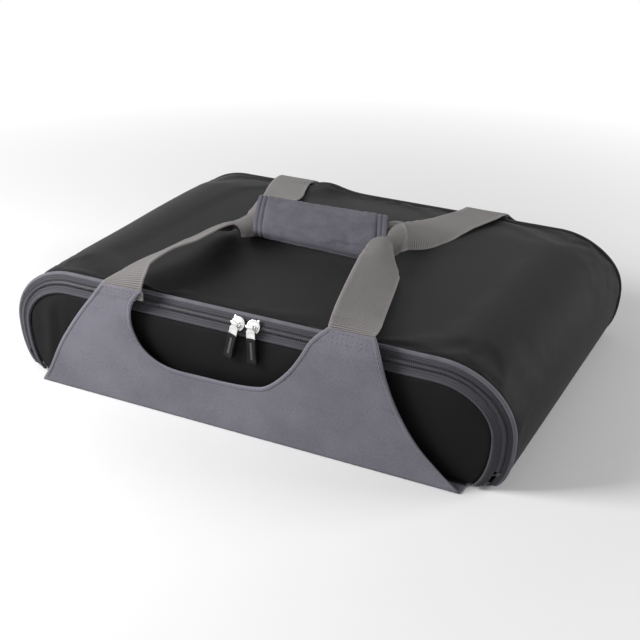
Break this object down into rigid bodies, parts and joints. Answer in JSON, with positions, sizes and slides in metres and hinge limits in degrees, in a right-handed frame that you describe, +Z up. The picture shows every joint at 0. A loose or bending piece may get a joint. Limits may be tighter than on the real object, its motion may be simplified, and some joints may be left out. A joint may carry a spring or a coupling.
{
  "type": "insulated food carrier bag",
  "caption": "Flat soft insulated carrier bag with a zipped fold-down front panel, scooped fabric slings and webbing handles held in a grip wrap.",
  "frame": {"origin": "middle of the underside of the cradle sheet, on the surface the bag lies on", "axes": "+X to the wearer's right along the front edge seen from the front, +Y to the rear, +Z up"},
  "size_m": [0.4496, 0.3216, 0.1271],
  "materials": {
    "black_polyester": "woven polyester",
    "black_binding": "binding tape",
    "foam": "closed-cell foam",
    "board": "stiffening board",
    "foil_lining": "silvered film lining",
    "grey_piping": "fabric-covered cord",
    "zip_tape": "woven zip tape",
    "zip_teeth": "moulded teeth",
    "nickel": "bright nickel",
    "pull_grip": "moulded grip",
    "grey_polyester": "woven polyester",
    "hook_loop": "hook-and-loop tape",
    "webbing": "ribbed webbing"
  },
  "bodies": {
    "bag": {"shell_outer": "black_polyester", "shell_foam": "foam", "base_outer": "black_polyester", "base_foam": "foam", "base_board": "board", "lining": "foil_lining", "rear_outer": "black_polyester", "rear_foam": "foam", "rear_lining": "foil_lining", "edge_piping_front": "grey_piping", "edge_piping_rear": "black_binding", "zip_tape_body": "zip_tape", "zip_teeth_body": "zip_teeth", "zip_stop_right": "zip_teeth", "zip_stop_left": "zip_teeth", "panel_fold_tape": "black_binding", "sling_base": "grey_polyester", "sling_rear": "grey_polyester"},
    "front_panel": {"panel_piping": "grey_piping", "zip_tape_panel": "zip_tape", "zip_teeth_panel": "zip_teeth", "panel_outer": "black_polyester", "panel_foam": "foam", "panel_lining": "foil_lining"},
    "left_slider": {"slider_left": "nickel"},
    "right_slider": {"slider_right": "nickel"},
    "left_pull": {"pull_tab_left": "nickel", "pull_grip_left": "pull_grip"},
    "right_pull": {"pull_tab_right": "nickel", "pull_grip_right": "pull_grip"},
    "front_sling": {"sling_front": "grey_polyester"},
    "front_handle": {"webbing_front": "webbing"},
    "rear_handle": {"webbing_rear": "webbing", "wrap_base": "grey_polyester", "wrap_loop_strip": "hook_loop"},
    "wrap_flap": {"wrap_cover": "grey_polyester", "wrap_hook_strip": "hook_loop"}
  },
  "joints": [
    {"name": "panel_open", "type": "hinge", "parent": "bag", "child": "front_panel", "pos_m": [0, -0.1492, 0.0032], "axis": [1, 0, 0], "range_deg": [0, 84]},
    {"name": "front_sling_fold", "type": "hinge", "parent": "bag", "child": "front_sling", "pos_m": [0, -0.1596, 0.0012], "axis": [1, 0, 0], "range_deg": [0, 90]},
    {"name": "front_handle_lift", "type": "hinge", "parent": "front_sling", "child": "front_handle", "pos_m": [0, -0.15804, 0.104], "axis": [1, 0, 0], "range_deg": [0, 72]},
    {"name": "rear_handle_lift", "type": "hinge", "parent": "bag", "child": "rear_handle", "pos_m": [0, 0.15804, 0.104], "axis": [-1, 0, 0], "range_deg": [0, 57.6]},
    {"name": "wrap_open", "type": "hinge", "parent": "rear_handle", "child": "wrap_flap", "pos_m": [-0.007, 0.02658, 0.12541], "axis": [-1, 0, 0], "range_deg": [0, 150], "deforming": ["wrap_cover", "wrap_hook_strip"]},
    {"name": "left_slider_run", "type": "slide", "parent": "front_panel", "child": "left_slider", "axis": [-1, 0, 0], "range_m": [0, 0.149]},
    {"name": "right_slider_run", "type": "slide", "parent": "front_panel", "child": "right_slider", "axis": [1, 0, 0], "range_m": [0, 0.14]},
    {"name": "left_pull_swing", "type": "hinge", "parent": "left_slider", "child": "left_pull", "pos_m": [-0.0006, -0.15243, 0.09231], "axis": [-0.9613, 0.1189, 0.2487], "range_deg": [0, 165]},
    {"name": "right_pull_swing", "type": "hinge", "parent": "right_slider", "child": "right_pull", "pos_m": [0.0128, -0.15243, 0.09231], "axis": [-0.9994, -0.0151, -0.0315], "range_deg": [0, 165]}
  ],
  "couplings": [
    {"joint": "front_sling_fold", "follows": "panel_open", "ratio": 1.0714},
    {"joint": "rear_handle_lift", "follows": "front_handle_lift", "ratio": 0.8}
  ]
}
